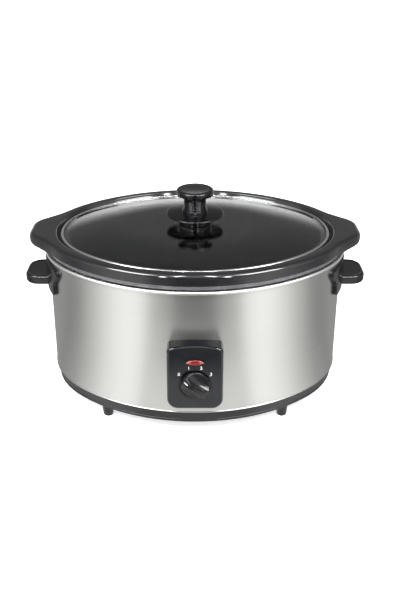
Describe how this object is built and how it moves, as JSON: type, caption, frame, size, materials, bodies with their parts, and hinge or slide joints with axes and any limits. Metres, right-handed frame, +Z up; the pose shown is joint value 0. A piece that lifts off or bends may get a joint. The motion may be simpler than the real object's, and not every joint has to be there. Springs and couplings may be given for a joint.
{
  "type": "oval slow multicooker",
  "caption": "Oval countertop multicooker: steel body with heating liner, lift-out glazed crock, loose domed glass lid with guarded knob, side handles and rotary control.",
  "frame": {"origin": "middle of the object's box on the surface that the feet stand on", "axes": "+X to the right along the oval's length, seen from the front; +Y to the back, with the control panel at -Y; +Z up"},
  "size_m": [0.399, 0.305, 0.242],
  "materials": {
    "shell_steel": "brushed round the body",
    "liner_metal": "bright rolled sheet",
    "rim_steel": "polished",
    "fixings": "plated",
    "heater_mica": "matte",
    "ceramic": "matte",
    "black_moulding": "satin",
    "handle_black": "satin",
    "gloss_black": "gloss",
    "rubber": "matte",
    "red_lens": "gloss, translucent",
    "lamp_glass": "clear",
    "stoneware": "dark glaze",
    "lid_glass": "clear"
  },
  "bodies": {
    "base": {"outer_shell": "shell_steel", "heating_liner": "liner_metal", "heater_band": "heater_mica", "band_bolt": "fixings", "thermal_fuse": "fixings", "fuse_clip": "fixings", "terminal_block": "ceramic", "base_tray": "black_moulding", "foot_front_left": "black_moulding", "foot_front_right": "black_moulding", "foot_rear_left": "black_moulding", "foot_rear_right": "black_moulding", "foot_screws": "fixings", "base_stud": "fixings", "base_washer": "fixings", "base_nut": "fixings", "cord_gland": "rubber", "handle_left": "handle_black", "handle_right": "handle_black", "handle_screws": "fixings", "control_panel": "gloss_black", "indicator_lens": "red_lens", "indicator_lamp": "lamp_glass", "switch_body": "ceramic", "switch_nut": "fixings"},
    "selector": {"control_dial": "gloss_black", "switch_shaft": "fixings"},
    "crock": {"crock": "stoneware"},
    "lid": {"lid_glass": "lid_glass", "lid_rim": "rim_steel", "knob_guard": "gloss_black", "knob_grip": "gloss_black", "knob_cap": "gloss_black", "knob_washer": "rubber", "knob_screw": "fixings"}
  },
  "joints": [
    {"name": "selector_turn", "type": "hinge", "parent": "base", "child": "selector", "pos_m": [0, -0.1395, 0.0755], "axis": [0, 1, 0], "range_deg": [0, 108]},
    {"name": "crock_lift", "type": "slide", "parent": "base", "child": "crock", "axis": [0, 0, 1], "range_m": [0, 0.16]},
    {"name": "lid_lift", "type": "slide", "parent": "crock", "child": "lid", "axis": [0, 0, 1], "range_m": [0, 0.12]}
  ]
}
